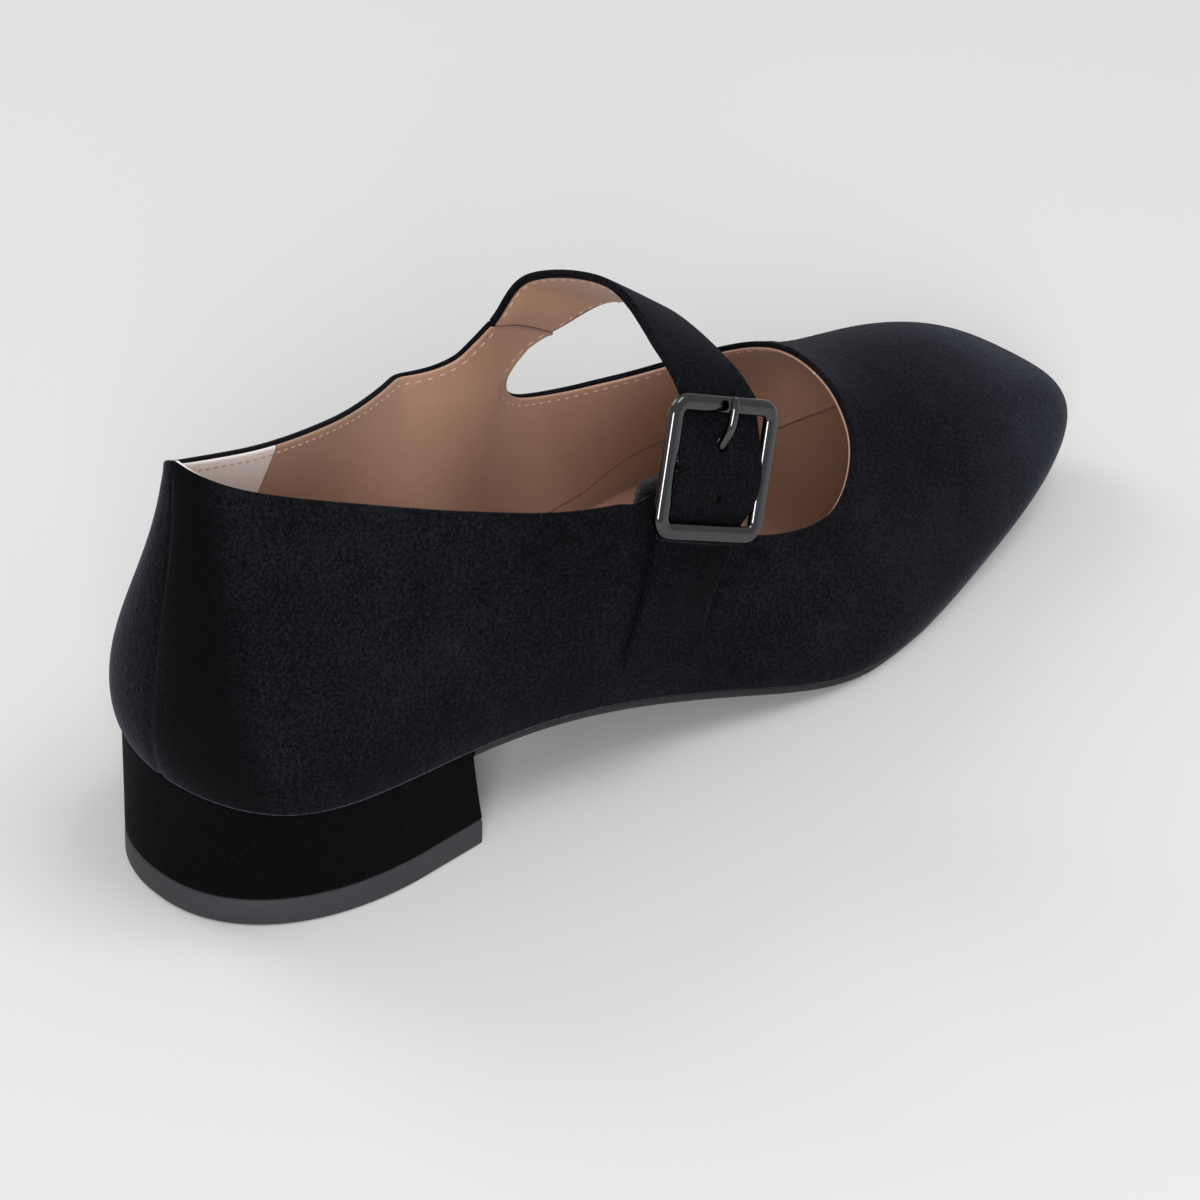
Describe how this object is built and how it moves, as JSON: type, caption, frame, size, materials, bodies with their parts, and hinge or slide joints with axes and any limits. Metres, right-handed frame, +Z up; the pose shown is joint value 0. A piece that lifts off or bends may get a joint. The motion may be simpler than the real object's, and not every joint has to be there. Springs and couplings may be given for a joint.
{
  "type": "mary jane pump",
  "caption": "Low block-heel mary jane shoe in black velvet with an almond toe, buckled instep strap on a short elastic, leather lining and rubber heel tip.",
  "frame": {"origin": "middle of the shoe's bounding box on the floor", "axes": "+X towards the toe, +Y towards the inner side of the foot, +Z up"},
  "size_m": [0.2486, 0.0816, 0.0911],
  "materials": {
    "velvet": "velvet pile",
    "lining": "smooth matte",
    "elastic": "ribbed",
    "outsole": "matte",
    "top_piece": "matte",
    "gunmetal": "polished dark"
  },
  "bodies": {
    "root": {"upper": "velvet", "strap": "velvet", "heel_block": "velvet", "insole": "lining", "elastic": "elastic", "outsole": "outsole", "heel_top_piece": "top_piece", "buckle_frame": "gunmetal", "buckle_prong": "gunmetal"}
  },
  "joints": []
}
